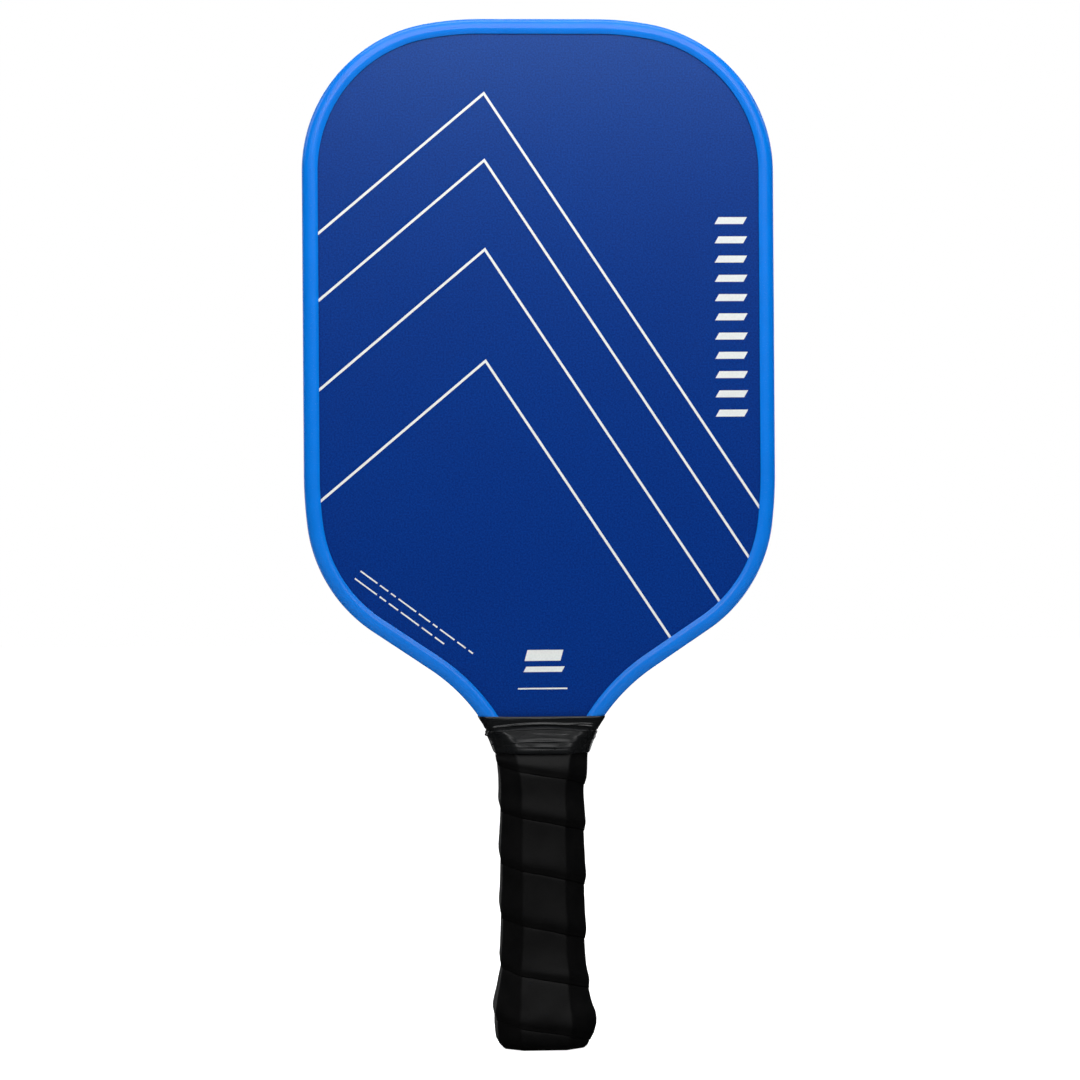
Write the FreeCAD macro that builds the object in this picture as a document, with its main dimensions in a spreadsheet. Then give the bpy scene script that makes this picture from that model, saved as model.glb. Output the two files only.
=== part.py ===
"""Pickleball paddle: a honeycomb-cored panel with a moulded edge guard and a wrapped octagonal handle.

Frame: +Z runs from the butt towards the head, X is across the face and the front face looks along -Y.
The origin is the middle of the butt cap's flat end, and all sizes are in millimetres.
"""

import os
from math import cos, radians, sin, sqrt

import FreeCAD
import Part
import Sketcher
from FreeCAD import Vector

# (alias, value, meaning). Every size that drives the model is one cell of the sheet.
DIMENSIONS = [
    ("panel_top", 414.7, "height of the panel's top edge above the butt"),
    ("panel_half_width", 93.85, "half width of the panel between its straight sides"),
    ("top_flat_half", 23.3, "half length of the straight top edge"),
    ("crown_radius", 120.6, "easy arc that leads from the top edge into the corner"),
    ("corner_radius", 59.0, "upper corner"),
    ("side_bottom", 233.0, "height where the straight side ends"),
    ("lower_side_radius", 176.0, "easy arc below the straight side"),
    ("shoulder_top", 211.8, "height where the shoulder arc starts"),
    ("shoulder_radius", 58.3, "lower corner, the shoulder"),
    ("neck_angle", 33.9, "slope of the straight neck below the shoulder, in degrees"),
    ("throat_radius", 78.3, "hollow arc from the neck into the tongue"),
    ("tongue_half_width", 9.6, "half width of the tongue inside the handle"),
    ("tongue_bottom", 6.0, "height of the tongue's lower end"),
    ("panel_thickness", 16.0, "core, veils and skins together"),
    ("skin_thickness", 0.5, "laminated face skin"),
    ("veil_thickness", 0.1, "bonding veil between core and skin"),
    ("cell_pitch", 12.0, "honeycomb cell, across flats, from wall middle to wall middle"),
    ("cell_wall", 0.5, "honeycomb wall"),
    ("edge_tape", 0.2, "adhesive strip between the panel's edge and the guard"),
    ("edge_tape_width", 12.0, "width of that strip"),
    ("guard_wall", 1.5, "guard thickness, at its side and at its lips"),
    ("guard_round", 3.2, "outer edge rounding of the guard"),
    ("guard_lip", 4.7, "how far a lip reaches in over the face"),
    ("guard_lip_tip", 0.9, "thickness of a lip at its tip"),
    ("guard_end", 130.0, "height where the guard ends, under the finishing tape"),
    ("shell_bottom", 4.0, "height of the handle shells' lower end"),
    ("shell_straight_top", 106.0, "height where the shells start to flare"),
    ("handle_half_x", 15.2, "bare handle, half width"),
    ("handle_half_y", 12.6, "bare handle, half thickness"),
    ("handle_bevel", 7.0, "bevel of the octagon, measured along X and Y"),
    ("shell_tape", 0.2, "adhesive tape between the tongue and a shell"),
    ("shell_tape_half_width", 8.5, "half width of that tape"),
    ("shell_tape_bottom", 10.0, "height where that tape starts"),
    ("shell_tape_top", 114.0, "height where that tape ends"),
    ("cap_floor", 3.0, "thickness of the butt cap's floor"),
    ("cap_top", 30.0, "height of the butt cap's skirt"),
    ("cap_clearance", 0.05, "gap between the skirt and the shells"),
    ("badge_recess_radius", 9.0, "round recess in the cap's end"),
    ("badge_recess_depth", 0.8, "depth of that recess"),
    ("badge_radius", 8.9, "blank badge"),
    ("badge_thickness", 0.6, "thickness of the badge"),
    ("staple_height", 25.0, "height of the staples above the butt"),
    ("staple_span", 7.2, "length of a staple's crown"),
    ("staple_wire", 0.6, "staple wire, square"),
    ("staple_crown_x", 16.1, "outer face of a staple's crown, from the centre line"),
    ("staple_tip_x", 10.6, "tip of a staple's legs, from the centre line"),
    ("grip_backing", 0.1, "adhesive backing between the shells and the grip"),
    ("grip_backing_bottom", 40.0, "height where that backing starts"),
    ("grip_backing_top", 104.0, "height where that backing ends"),
]

# Octagonal sections (height, half width, half thickness, bevel), from the bottom up.
CAP_OUTSIDE = [
    (0.0, 15.6, 12.9, 7.0),
    (0.9, 16.8, 14.1, 7.4),
    (3.0, 17.5, 14.8, 7.6),
    (6.0, 18.1, 15.4, 7.7),
    (11.0, 18.4, 15.7, 7.7),
    (20.0, 17.4, 14.7, 7.4),
    (30.0, 15.9, 13.3, 7.0),
]
CAP_HOLLOW = [
    (3.0, 15.9, 13.2, 7.1),
    (11.0, 16.7, 14.0, 7.3),
    (20.0, 15.25, 12.65, 7.0),
]
SHELL_FLARE = [
    (106.0, 15.2, 12.6, 7.0),
    (114.0, 16.2, 12.4, 6.6),
    (119.0, 17.0, 11.2, 4.6),
    (124.0, 17.9, 8.9, 1.2),
]
GRIP_FOOT = [
    (3.2, 18.0, 15.3, 7.8),
    (6.0, 19.7, 17.0, 8.4),
    (11.0, 20.3, 17.6, 8.5),
    (20.0, 19.3, 16.6, 8.2),
    (30.0, 17.8, 15.2, 7.9),
    (36.0, 17.1, 14.5, 7.8),
]
GRIP_HEAD = [
    (106.0, 17.1, 14.5, 7.8),
    (114.0, 18.1, 14.3, 7.4),
    (119.0, 18.9, 13.1, 6.2),
    (122.0, 19.4, 11.8, 4.4),
]
TAPE_INSIDE = [
    (119.9, 19.2, 13.2, 5.6),
    (123.0, 19.7, 12.1, 4.4),
    (127.0, 21.1, 10.5, 2.8),
    (130.5, 23.1, 9.65, 1.8),
    (134.4, 25.7, 9.6, 1.6),
]
TAPE_WALL = 0.4
COLLAR_INSIDE = [
    (119.6, 19.8, 13.8, 5.8),
    (123.0, 20.3, 12.6, 4.6),
    (127.0, 21.7, 11.0, 3.0),
    (129.3, 23.0, 10.45, 2.2),
]
COLLAR_WALL = 0.9

# Bevel growth of an octagon whose walls all move out by one.
BEVEL_GROWTH = 2 - sqrt(2)

doc = FreeCAD.newDocument("paddle")
sheet = doc.addObject("Spreadsheet::Sheet", "dims")


def fill_sheet():
    """Writes the driving dimensions, one row each: meaning, then the value with its alias."""
    for row, (alias, value, meaning) in enumerate(DIMENSIONS, start=1):
        sheet.set(f"A{row}", meaning)
        sheet.set(f"B{row}", str(value))
        sheet.setAlias(f"B{row}", alias)
    doc.recompute()


def value_of(expression):
    """The number that an expression over the sheet gives now."""
    return float(sheet.evalExpression(expression))


# ---------------------------------------------------------------- sketch helpers


def new_body(label):
    body = doc.addObject("PartDesign::Body", label)
    body.Label = label
    return body


def origin_plane(body, role):
    return next(f for f in body.Origin.OriginFeatures if f.Role == role)


def new_sketch(body, name, role, offset="0"):
    """A sketch on one of the body's origin planes, moved along the plane's normal by an expression."""
    sketch = body.newObject("Sketcher::SketchObject", name)
    sketch.AttachmentSupport = [(origin_plane(body, role), "")]
    sketch.MapMode = "FlatFace"
    sketch.setExpression("AttachmentOffset.Base.z", offset)
    return sketch


def bound(sketch, kind, *where_and_expression):
    """Adds a dimensional constraint whose value follows an expression."""
    *where, expression = where_and_expression
    number = value_of(expression)
    if kind == "Angle":
        number = radians(number)
        expression = f"({expression}) * 1 deg"
    index = sketch.addConstraint(Sketcher.Constraint(kind, *where, number))
    sketch.setExpression(f"Constraints[{index}]", expression)


def polygon(sketch, corners):
    """A closed polygon whose corners are pairs of expressions."""
    points = [Vector(value_of(x), value_of(y), 0) for x, y in corners]
    first = sketch.GeometryCount
    for k, point in enumerate(points):
        sketch.addGeometry(Part.LineSegment(point, points[(k + 1) % len(points)]))
    for k, (x, y) in enumerate(corners):
        line = first + k
        after = first + (k + 1) % len(points)
        sketch.addConstraint(Sketcher.Constraint("Coincident", line, 2, after, 1))
        bound(sketch, "DistanceX", -1, 1, line, 1, x)
        bound(sketch, "DistanceY", -1, 1, line, 1, y)


def octagon(body, name, height, half_x, half_y, bevel):
    """A full octagonal section at a height; the sizes are expressions."""
    sketch = new_sketch(body, name, "XY_Plane", height)
    flat_x, flat_y = f"(({half_x}) - ({bevel}))", f"(({half_y}) - ({bevel}))"
    right = [(f"({half_x})", f"-{flat_y}"), (f"({half_x})", flat_y)]
    upper = [(flat_x, f"({half_y})"), (f"-{flat_x}", f"({half_y})")]
    left = [(f"-({half_x})", flat_y), (f"-({half_x})", f"-{flat_y}")]
    lower = [(f"-{flat_x}", f"-({half_y})"), (flat_x, f"-({half_y})")]
    polygon(sketch, right + upper + left + lower)
    return sketch


def half_octagon(body, name, height, half_x, half_y, bevel, side):
    """The half of that section on one side of the parting plane; side is -1 in front, 1 behind."""
    sketch = new_sketch(body, name, "XY_Plane", height)
    flat_x, flat_y = f"(({half_x}) - ({bevel}))", f"(({half_y}) - ({bevel}))"
    corners = [
        (f"({half_x})", "0"),
        (f"({half_x})", f"({side}) * {flat_y}"),
        (flat_x, f"({side}) * ({half_y})"),
        (f"-{flat_x}", f"({side}) * ({half_y})"),
        (f"-({half_x})", f"({side}) * {flat_y}"),
        (f"-({half_x})", "0"),
    ]
    polygon(sketch, corners)
    return sketch


def loft(body, kind, name, sketches):
    """An additive or subtractive loft through sections."""
    feature = body.newObject(f"PartDesign::{kind}Loft", name)
    feature.Profile = sketches[0]
    feature.Sections = sketches[1:]
    feature.Ruled = True
    doc.recompute()
    return feature


def section_loft(body, kind, name, sections, grow="0"):
    """A loft through a table of octagonal sections, all grown outwards by an expression."""
    sketches = []
    for k, (height, half_x, half_y, bevel) in enumerate(sections):
        sizes = (
            f"{half_x} + {grow}",
            f"{half_y} + {grow}",
            f"{bevel} + {BEVEL_GROWTH} * ({grow})",
        )
        sketches.append(octagon(body, f"{name}_{k}", str(height), *sizes))
    return loft(body, kind, name, sketches)


def pad(body, sketch, length, midplane=False):
    feature = body.newObject("PartDesign::Pad", "pad_" + sketch.Name)
    feature.Profile = sketch
    feature.setExpression("Length", length)
    feature.Midplane = midplane
    doc.recompute()
    return feature


def pocket(body, sketch, length, midplane=False, reverse=False):
    """A pocket that has to take something away."""
    before = body.Shape.Volume
    feature = body.newObject("PartDesign::Pocket", "pocket_" + sketch.Name)
    feature.Profile = sketch
    feature.setExpression("Length", length)
    feature.Midplane = midplane
    feature.Reversed = reverse
    doc.recompute()
    if not body.Shape.Volume < before - 1e-6:
        raise RuntimeError(f"{feature.Name} cuts nothing from {body.Label}")
    return feature


def mirror_across(body, feature):
    """Adds the feature's mirror image on the other side of the centre line."""
    mirrored = body.newObject("PartDesign::Mirrored", "mirror_" + feature.Name)
    mirrored.Originals = [feature]
    mirrored.MirrorPlane = (origin_plane(body, "YZ_Plane"), [""])
    body.Tip = mirrored
    doc.recompute()


# ---------------------------------------------------------------- the panel's outline


def arc_of(centre, radius, start, end):
    """A counter-clockwise arc between two directions in degrees."""
    circle = Part.Circle(centre, Vector(0, 0, 1), radius)
    return Part.ArcOfCircle(circle, radians(start), radians(end))


def outline_guess():
    """The right half of the outline, close enough for the solver: top, arcs, side, arcs, neck, throat."""
    top, side = value_of("dims.panel_top"), value_of("dims.panel_half_width")
    flat, crown = value_of("dims.top_flat_half"), value_of("dims.crown_radius")
    corner, shoulder = value_of("dims.corner_radius"), value_of("dims.shoulder_radius")
    lower, side_bottom = value_of("dims.lower_side_radius"), value_of("dims.side_bottom")
    throat, tongue = value_of("dims.throat_radius"), value_of("dims.tongue_half_width")
    neck, crown_sweep, lower_sweep = value_of("dims.neck_angle"), 11.0, 7.0

    def on(centre, radius, angle):
        return centre + radius * Vector(cos(radians(angle)), sin(radians(angle)), 0)

    crown_centre = Vector(flat, top - crown, 0)
    crown_end = on(crown_centre, crown, 90 - crown_sweep)
    corner_centre = on(crown_end, corner, 270 - crown_sweep)
    lower_centre = Vector(side - lower, side_bottom, 0)
    lower_end = on(lower_centre, lower, -lower_sweep)
    shoulder_centre = on(lower_end, shoulder, 180 - lower_sweep)
    neck_start = on(shoulder_centre, shoulder, neck - 90)
    throat_x = tongue + throat
    neck_end_x = throat_x - throat * sin(radians(neck))
    neck_drop = (neck_start.x - neck_end_x) * sin(radians(neck)) / cos(radians(neck))
    neck_end = Vector(neck_end_x, neck_start.y - neck_drop, 0)
    throat_centre = Vector(throat_x, neck_end.y - throat * cos(radians(neck)), 0)
    return [
        Part.LineSegment(Vector(0, top, 0), Vector(flat, top, 0)),
        arc_of(crown_centre, crown, 90 - crown_sweep, 90),
        arc_of(corner_centre, corner, 0, 90 - crown_sweep),
        Part.LineSegment(Vector(side, corner_centre.y, 0), Vector(side, side_bottom, 0)),
        arc_of(lower_centre, lower, -lower_sweep, 0),
        arc_of(shoulder_centre, shoulder, neck - 90, -lower_sweep),
        Part.LineSegment(neck_end, neck_start),
        arc_of(throat_centre, throat, 90 + neck, 180),
    ]


TOP, CROWN, CORNER, SIDE, LOWER_SIDE, SHOULDER, NECK, THROAT = range(8)
START, END, MIDDLE = 1, 2, 3
# Where each piece of the outline meets the next one, as the pieces are walked from the top.
JOINTS = [
    (TOP, END, CROWN, END),
    (CROWN, START, CORNER, END),
    (CORNER, START, SIDE, START),
    (SIDE, END, LOWER_SIDE, END),
    (LOWER_SIDE, START, SHOULDER, END),
    (SHOULDER, START, NECK, END),
    (NECK, START, THROAT, START),
]
RADII = [
    (CROWN, "dims.crown_radius"),
    (CORNER, "dims.corner_radius"),
    (LOWER_SIDE, "dims.lower_side_radius"),
    (SHOULDER, "dims.shoulder_radius"),
    (THROAT, "dims.throat_radius"),
]


def outline_chain(sketch):
    """Draws the right half of the panel's edge from the top of the centre line to the throat arc."""
    sketch.addGeometry(outline_guess())
    for first, first_end, second, second_end in JOINTS:
        sketch.addConstraint(Sketcher.Constraint("Tangent", first, first_end, second, second_end))
    sketch.addConstraint(Sketcher.Constraint("PointOnObject", TOP, START, -2))
    sketch.addConstraint(Sketcher.Constraint("Horizontal", TOP))
    sketch.addConstraint(Sketcher.Constraint("Vertical", SIDE))
    for piece, radius in RADII:
        bound(sketch, "Radius", piece, radius)
    bound(sketch, "DistanceY", -1, 1, TOP, START, "dims.panel_top")
    bound(sketch, "DistanceX", -1, 1, TOP, END, "dims.top_flat_half")
    bound(sketch, "DistanceX", -1, 1, SIDE, END, "dims.panel_half_width")
    bound(sketch, "DistanceY", -1, 1, SIDE, END, "dims.side_bottom")
    bound(sketch, "DistanceY", -1, 1, LOWER_SIDE, START, "dims.shoulder_top")
    bound(sketch, "Angle", NECK, "dims.neck_angle")
    bound(sketch, "DistanceX", -1, 1, THROAT, MIDDLE, "dims.tongue_half_width + dims.throat_radius")


def outline_spine(body):
    """The open path that the guard and its adhesive strip follow, down to the guard's end."""
    sketch = new_sketch(body, body.Label + "_spine", "XZ_Plane")
    outline_chain(sketch)
    bound(sketch, "DistanceY", -1, 1, THROAT, END, "dims.guard_end")
    doc.recompute()
    return sketch


def outline_region(body, offset):
    """The closed right half of the panel, tongue included, on a plane parallel to the face."""
    sketch = new_sketch(body, body.Label + "_outline", "XZ_Plane", offset)
    outline_chain(sketch)
    doc.recompute()
    throat_foot = sketch.getPoint(THROAT, END)
    bottom = value_of("dims.tongue_bottom")
    corners = [
        throat_foot,
        Vector(throat_foot.x, bottom, 0),
        Vector(0, bottom, 0),
        Vector(0, value_of("dims.panel_top"), 0),
    ]
    side, end, middle = THROAT + 1, THROAT + 2, THROAT + 3
    for start, stop in zip(corners, corners[1:]):
        sketch.addGeometry(Part.LineSegment(start, stop))
    sketch.addConstraint(Sketcher.Constraint("Tangent", THROAT, END, side, START))
    sketch.addConstraint(Sketcher.Constraint("Vertical", side))
    sketch.addConstraint(Sketcher.Constraint("Coincident", side, END, end, START))
    sketch.addConstraint(Sketcher.Constraint("Horizontal", end))
    sketch.addConstraint(Sketcher.Constraint("Coincident", end, END, middle, START))
    sketch.addConstraint(Sketcher.Constraint("Vertical", middle))
    sketch.addConstraint(Sketcher.Constraint("Coincident", middle, END, TOP, START))
    bound(sketch, "DistanceY", -1, 1, end, END, "dims.tongue_bottom")
    doc.recompute()
    return sketch


# ---------------------------------------------------------------- panel


def panel_sheet(label, inner_face, thickness, side):
    """One sheet of the panel; side is -1 for the front and 1 for the back, sizes are expressions."""
    body = new_body(label)
    offset = inner_face if side < 0 else f"-({inner_face}) - ({thickness})"
    half = pad(body, outline_region(body, offset), thickness)
    mirror_across(body, half)
    return body


def panel_face(half_region):
    """The whole outline as one flat face in the plane y = 0, from the sketch of its right half."""
    half = half_region.Shape.copy()
    half.translate(Vector(0, -half.BoundBox.YMin, 0))
    right = [edge for edge in half.Edges if edge.BoundBox.XMax > 1]
    left = [edge.mirror(Vector(0, 0, 0), Vector(1, 0, 0)) for edge in right]
    return Part.Face(Part.Wire(Part.sortEdges(right + left)[0]))


def hexagon(x, z, circumradius):
    """A flat hexagonal wire with two upright sides."""
    corners = []
    for k in range(7):
        angle = radians(30 + 60 * k)
        corners.append(Vector(x + circumradius * cos(angle), 0, z + circumradius * sin(angle)))
    return Part.makePolygon(corners)


def honeycomb_core(half_region):
    """Hexagonal cells, open through the thickness, and cut open where the router ran along the edge."""
    pitch, wall = value_of("dims.cell_pitch"), value_of("dims.cell_wall")
    skins = "dims.panel_thickness - 2 * dims.skin_thickness - 2 * dims.veil_thickness"
    thickness = value_of(skins)
    face = panel_face(half_region)
    rim = face.makeOffset2D(-wall)
    box = face.BoundBox
    circumradius = (pitch - wall) / sqrt(3)
    row_height = pitch * sqrt(3) / 2
    inner, crossing = [], []
    rows = int(box.ZLength / row_height) + 2
    columns = int(box.XLength / pitch / 2) + 2
    for row in range(rows):
        z = box.ZMin + row * row_height
        for column in range(-columns, columns + 1):
            x = (column + 0.5 * (row % 2)) * pitch
            cell = hexagon(x, z, circumradius)
            corners = [v.Point for v in cell.Vertexes]
            if all(rim.isInside(c, 1e-6, True) for c in corners):
                inner.append(cell)
            elif any(face.isInside(c, 1e-6, True) for c in corners):
                crossing.append(Part.Face(cell))
    trimmed = face.cut(Part.makeCompound(crossing))
    web = max(trimmed.Faces, key=lambda piece: piece.Area)
    region = Part.Face([web.OuterWire] + inner)
    solid = region.extrude(Vector(0, thickness, 0))
    solid.translate(Vector(0, -thickness / 2, 0))
    core = doc.addObject("Part::Feature", "honeycomb_core")
    core.Label = "honeycomb_core"
    core.Shape = solid
    return core


def make_panel():
    """Core, veils and skins; together they are the panel that the router cut to shape."""
    half = "dims.panel_thickness / 2"
    skin_inside = f"{half} - dims.skin_thickness"
    veil_inside = f"{skin_inside} - dims.veil_thickness"
    parts = []
    for name, side in (("front", -1), ("back", 1)):
        parts.append(panel_sheet(f"{name}_face_skin", skin_inside, "dims.skin_thickness", side))
        parts.append(panel_sheet(f"{name}_core_veil", veil_inside, "dims.veil_thickness", side))
    half_region = doc.getObject("front_face_skin_outline")
    return parts + [honeycomb_core(half_region)]


# ---------------------------------------------------------------- edge guard


def guard_profile(body):
    """The guard's U section, drawn above the middle of the top edge: sketch x is Y, sketch y is Z."""
    sketch = new_sketch(body, "guard_profile", "YZ_Plane")
    half, top = value_of("dims.panel_thickness / 2"), value_of("dims.panel_top")
    inside = top + value_of("dims.edge_tape")
    outside = inside + value_of("dims.guard_wall")
    lip_top = half + value_of("dims.guard_wall")
    tip_top = half + value_of("dims.guard_lip_tip")
    tip = top - value_of("dims.guard_lip")
    rounding = value_of("dims.guard_round")

    def run(y1, z1, y2, z2):
        return Part.LineSegment(Vector(y1, z1, 0), Vector(y2, z2, 0))

    right = arc_of(Vector(lip_top - rounding, outside - rounding, 0), rounding, 0, 90)
    left = arc_of(Vector(rounding - lip_top, outside - rounding, 0), rounding, 90, 180)
    sketch.addGeometry([
        run(rounding - lip_top, outside, lip_top - rounding, outside),
        right,
        run(lip_top, outside - rounding, tip_top, tip),
        run(tip_top, tip, half, tip),
        run(half, tip, half, inside),
        run(half, inside, -half, inside),
        run(-half, inside, -half, tip),
        run(-half, tip, -tip_top, tip),
        run(-tip_top, tip, -lip_top, outside - rounding),
        left,
    ])
    back, over, left_over = 0, 1, 9
    sketch.addConstraint(Sketcher.Constraint("Tangent", back, END, over, END))
    sketch.addConstraint(Sketcher.Constraint("Tangent", back, START, left_over, START))
    sketch.addConstraint(Sketcher.Constraint("Coincident", over, START, 2, START))
    for line in range(2, 8):
        sketch.addConstraint(Sketcher.Constraint("Coincident", line, END, line + 1, START))
    sketch.addConstraint(Sketcher.Constraint("Coincident", 8, END, left_over, END))
    for line in (0, 3, 5, 7):
        sketch.addConstraint(Sketcher.Constraint("Horizontal", line))
    for line in (4, 6):
        sketch.addConstraint(Sketcher.Constraint("Vertical", line))
    for piece in (over, left_over):
        bound(sketch, "Radius", piece, "dims.guard_round")
    inside_z = "dims.panel_top + dims.edge_tape"
    half_y = "dims.panel_thickness / 2"
    bound(sketch, "DistanceY", -1, 1, back, START, f"{inside_z} + dims.guard_wall")
    bound(sketch, "DistanceY", -1, 1, 5, START, inside_z)
    for line, sign in ((2, ""), (8, "-")):
        lip, end = (START, END) if line == 2 else (END, START)
        bound(sketch, "DistanceX", -1, 1, line, lip, f"{sign}({half_y} + dims.guard_wall)")
        bound(sketch, "DistanceX", -1, 1, line, end, f"{sign}({half_y} + dims.guard_lip_tip)")
        bound(sketch, "DistanceY", -1, 1, line, end, "dims.panel_top - dims.guard_lip")
    for line, sign in ((4, ""), (6, "-")):
        bound(sketch, "DistanceX", -1, 1, line, START, f"{sign}({half_y})")
    doc.recompute()
    return sketch


def strip_profile(body):
    """The adhesive strip's section on the panel's edge."""
    sketch = new_sketch(body, "strip_profile", "YZ_Plane")
    side, low = "dims.edge_tape_width / 2", "dims.panel_top"
    high = "dims.panel_top + dims.edge_tape"
    polygon(sketch, [(f"-{side}", low), (side, low), (side, high), (f"-{side}", high)])
    doc.recompute()
    return sketch


def swept_round_the_edge(label, profile):
    """A body whose section runs round the panel's edge, from one side of the throat to the other."""
    body = new_body(label)
    spine = outline_spine(body)
    pipe = body.newObject("PartDesign::AdditivePipe", label + "_pipe")
    pipe.Profile = profile(body)
    pipe.Spine = (spine, [f"Edge{k + 1}" for k in range(len(spine.Shape.Edges))])
    doc.recompute()
    mirror_across(body, pipe)
    return body


def make_edge():
    return [
        swept_round_the_edge("edge_guard", guard_profile),
        swept_round_the_edge("edge_guard_tape", strip_profile),
    ]


# ---------------------------------------------------------------- handle


def staple_holes(body, name, reach):
    """Square holes for the staples' legs, through the walls on both sides."""
    sketch = new_sketch(body, name, "YZ_Plane")
    wire = "dims.staple_wire / 2"
    for sign in ("-", ""):
        middle = f"{sign}(dims.staple_span / 2 - {wire})"
        low, high = f"dims.staple_height - {wire}", f"dims.staple_height + {wire}"
        near, far = f"{middle} - {wire}", f"{middle} + {wire}"
        polygon(sketch, [(near, low), (far, low), (far, high), (near, high)])
    doc.recompute()
    pocket(body, sketch, reach, midplane=True)


def handle_shell(name, side):
    """One moulded half of the octagonal handle; side is -1 in front and 1 behind."""
    body = new_body(name)
    straight = half_octagon(
        body, name + "_section", "dims.shell_bottom",
        "dims.handle_half_x", "dims.handle_half_y", "dims.handle_bevel", side,
    )
    pad(body, straight, "dims.shell_straight_top - dims.shell_bottom")
    flare = []
    for k, (height, *sizes) in enumerate(SHELL_FLARE):
        flare.append(half_octagon(body, f"{name}_flare_{k}", str(height), *map(str, sizes), side))
    loft(body, "Additive", name + "_flare", flare)
    recess = pocket(
        body, outline_region(body, "0"), "dims.panel_thickness + 2 * dims.shell_tape", midplane=True
    )
    mirror_across(body, recess)
    staple_holes(body, name + "_staple_holes", "4 * dims.handle_half_x")
    return body


def shell_tape(name, side):
    """The adhesive tape that holds a shell to the tongue."""
    tape = doc.addObject("Part::Box", name)
    tape.Label = name
    tape.setExpression("Length", "2 * dims.shell_tape_half_width")
    tape.setExpression("Width", "dims.shell_tape")
    tape.setExpression("Height", "dims.shell_tape_top - dims.shell_tape_bottom")
    near = "dims.panel_thickness / 2"
    low_y = f"-({near}) - dims.shell_tape" if side < 0 else near
    tape.setExpression("Placement.Base.x", "-dims.shell_tape_half_width")
    tape.setExpression("Placement.Base.y", low_y)
    tape.setExpression("Placement.Base.z", "dims.shell_tape_bottom")
    return tape


def butt_cap():
    """The flared cap over the handle's end, hollow between its flare and the shells."""
    body = new_body("butt_cap")
    section_loft(body, "Additive", "cap_outside", CAP_OUTSIDE)
    section_loft(body, "Subtractive", "cap_hollow", CAP_HOLLOW)
    clear = [f"dims.handle_half_{axis} + dims.cap_clearance" for axis in "xy"]
    socket = octagon(body, "cap_socket", "dims.cap_floor", *clear, "dims.handle_bevel")
    pocket(body, socket, "dims.cap_top - dims.cap_floor", reverse=True)
    recess = new_sketch(body, "badge_recess", "XY_Plane")
    recess.addGeometry(Part.Circle(Vector(0, 0, 0), Vector(0, 0, 1), value_of("dims.badge_recess_radius")))
    recess.addConstraint(Sketcher.Constraint("Coincident", 0, MIDDLE, -1, 1))
    bound(recess, "Radius", 0, "dims.badge_recess_radius")
    pocket(body, recess, "dims.badge_recess_depth", reverse=True)
    staple_holes(body, "cap_staple_holes", "4 * dims.handle_half_x")
    for sign, name in ((1, "right"), (-1, "left")):
        crown_bed(body, name, sign)
    return body


def crown_bed(body, name, sign):
    """The slot that a staple's crown has sunk into, open to the outside."""
    start = f"({sign}) * (dims.staple_crown_x - dims.staple_wire)"
    sketch = new_sketch(body, f"crown_bed_{name}", "YZ_Plane", start)
    side, wire = "dims.staple_span / 2", "dims.staple_wire / 2"
    low, high = f"dims.staple_height - {wire}", f"dims.staple_height + {wire}"
    polygon(sketch, [(f"-{side}", low), (side, low), (side, high), (f"-{side}", high)])
    doc.recompute()
    pocket(body, sketch, "4 * dims.staple_wire", reverse=sign > 0)


def butt_badge():
    badge = doc.addObject("Part::Cylinder", "butt_badge")
    badge.Label = "butt_badge"
    badge.setExpression("Radius", "dims.badge_radius")
    badge.setExpression("Height", "dims.badge_thickness")
    badge.setExpression("Placement.Base.z", "dims.badge_recess_depth - dims.badge_thickness")
    return badge


def wire_box(name, low, size):
    """A box from expressions for its low corner and its size."""
    box = doc.addObject("Part::Box", name)
    for edge, length in zip(("Length", "Width", "Height"), size):
        box.setExpression(edge, length)
    for axis, place in zip("xyz", low):
        box.setExpression(f"Placement.Base.{axis}", place)
    return box


def staple(name, sign):
    """A crown across the shells' parting line and a leg into each shell; sign is the side in X."""
    wire, leg = "dims.staple_wire", "dims.staple_crown_x - dims.staple_tip_x"
    low_z = f"dims.staple_height - {wire} / 2"
    crown_x = f"dims.staple_crown_x - {wire}" if sign > 0 else "-dims.staple_crown_x"
    leg_x = "dims.staple_tip_x" if sign > 0 else "-dims.staple_crown_x"
    crown = wire_box(
        name + "_crown", (crown_x, "-dims.staple_span / 2", low_z), (wire, "dims.staple_span", wire)
    )
    near = wire_box(name + "_leg_front", (leg_x, "-dims.staple_span / 2", low_z), (leg, wire, wire))
    far = wire_box(name + "_leg_back", (leg_x, f"dims.staple_span / 2 - {wire}", low_z), (leg, wire, wire))
    whole = doc.addObject("Part::MultiFuse", name)
    whole.Shapes = [crown, near, far]
    return whole


def butt_cap_staples():
    """Both staples as one group of separate solids."""
    group = doc.addObject("Part::Compound", "butt_cap_staples")
    group.Label = "butt_cap_staples"
    group.Links = [staple("staple_right", 1), staple("staple_left", -1)]
    return group


def make_handle():
    return [
        handle_shell("handle_shell_front", -1),
        handle_shell("handle_shell_back", 1),
        shell_tape("shell_tape_front", -1),
        shell_tape("shell_tape_back", 1),
        butt_cap(),
        butt_badge(),
        butt_cap_staples(),
    ]


# ---------------------------------------------------------------- grip and throat


def bare_handle_grown(grow):
    """Half width, half thickness and bevel of the bare handle, with its walls moved out."""
    return (
        f"dims.handle_half_x + {grow}",
        f"dims.handle_half_y + {grow}",
        f"dims.handle_bevel + {BEVEL_GROWTH} * ({grow})",
    )


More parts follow.
